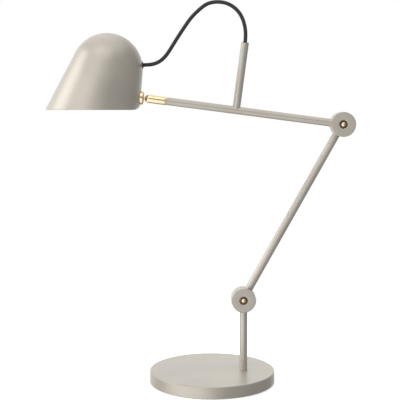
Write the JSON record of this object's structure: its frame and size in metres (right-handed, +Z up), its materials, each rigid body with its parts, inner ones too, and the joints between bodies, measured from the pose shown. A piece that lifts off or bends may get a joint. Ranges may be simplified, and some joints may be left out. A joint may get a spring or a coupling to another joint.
{
  "type": "architect desk lamp",
  "caption": "Desk lamp with a round weighted base, a swivelling post, two arms on friction disc joints, a riser with a braided cord loop, and a domed shade on a brass ball joint.",
  "frame": {"origin": "centre of the base's underside, on the surface that the lamp stands on", "axes": "+X from the shade towards the elbow, +Y across the arms towards the lead's inlet, +Z up"},
  "size_m": [0.4845, 0.2019, 0.604],
  "materials": {
    "paint": "satin powder coat, warm grey-beige",
    "shade_paint": "spun aluminium, satin powder coat, warm grey-beige outside, white inside",
    "brass": "polished",
    "steel": "zinc plated",
    "cast_iron": "rough, blackened",
    "rubber": "matt black",
    "nylon": "moulded nylon",
    "lead": "white insulation",
    "braid": "black textile braid",
    "phenolic": "black phenolic",
    "opal": "opal white"
  },
  "bodies": {
    "base": {"base_cover": "paint", "base_weight": "cast_iron", "bottom_plate": "steel", "base_pad": "rubber", "plate_screws": "steel", "lead_inlet": "rubber", "terminal_block": "nylon", "base_lead": "lead", "swivel_bush": "brass"},
    "post": {"foot_washer": "nylon", "post_spigot": "steel", "swivel_washer": "steel", "swivel_nut": "steel", "post_tube": "paint", "post_lead": "lead", "lower_front_disc": "paint", "lower_pivot_bolt": "brass", "lower_friction_ring": "nylon", "lower_spring_washers": "steel", "lower_pivot_nut": "brass"},
    "lower_arm": {"lower_rear_disc": "paint", "lower_arm_tube": "paint", "elbow_rear_disc": "paint", "lower_arm_lead": "lead"},
    "upper_arm": {"elbow_front_disc": "paint", "elbow_pivot_bolt": "brass", "elbow_friction_ring": "nylon", "elbow_spring_washers": "steel", "elbow_pivot_nut": "brass", "upper_arm_tube": "paint", "riser_tube": "paint", "riser_bush": "rubber", "upper_arm_lead": "lead", "arm_sleeve": "brass", "cord_riser_side": "braid"},
    "shade_stud": {"ball_stud": "brass", "stud_washer": "steel", "stud_nut": "steel", "cord_shade_side": "braid"},
    "shade": {"shade_shell": "shade_paint", "cord_grommet": "rubber", "joint_socket": "brass", "ball_seat": "nylon", "seat_spring": "steel", "socket_plug": "brass", "socket_saddle": "steel", "holder_bracket": "steel", "socket_ring_nut": "brass", "lampholder": "phenolic", "holder_rings": "phenolic", "holder_lead": "lead", "bulb_cap": "steel", "bulb_globe": "opal"}
  },
  "joints": [
    {"name": "post_swivel", "type": "hinge", "parent": "base", "child": "post", "pos_m": [0.05, -0.00635, 0.0196], "axis": [0, 0, 1], "range_deg": [-120, 120]},
    {"name": "lower_joint", "type": "hinge", "parent": "post", "child": "lower_arm", "pos_m": [0.05, 0, 0.1333], "axis": [0, 1, 0], "range_deg": [-35, 30]},
    {"name": "elbow_joint", "type": "hinge", "parent": "lower_arm", "child": "upper_arm", "pos_m": [0.20441, 0, 0.41244], "axis": [0, 1, 0], "range_deg": [-30, 75]},
    {"name": "shade_roll", "type": "hinge", "parent": "upper_arm", "child": "shade_stud", "pos_m": [-0.1117, -0.00635, 0.45377], "axis": [-0.9916, 0, 0.1297], "range_deg": [-30, 30], "deforming": ["cord_riser_side"]},
    {"name": "shade_tilt", "type": "hinge", "parent": "shade_stud", "child": "shade", "pos_m": [-0.1117, -0.00635, 0.45377], "axis": [0, 1, 0], "range_deg": [-28, 28], "deforming": ["cord_shade_side"]}
  ]
}
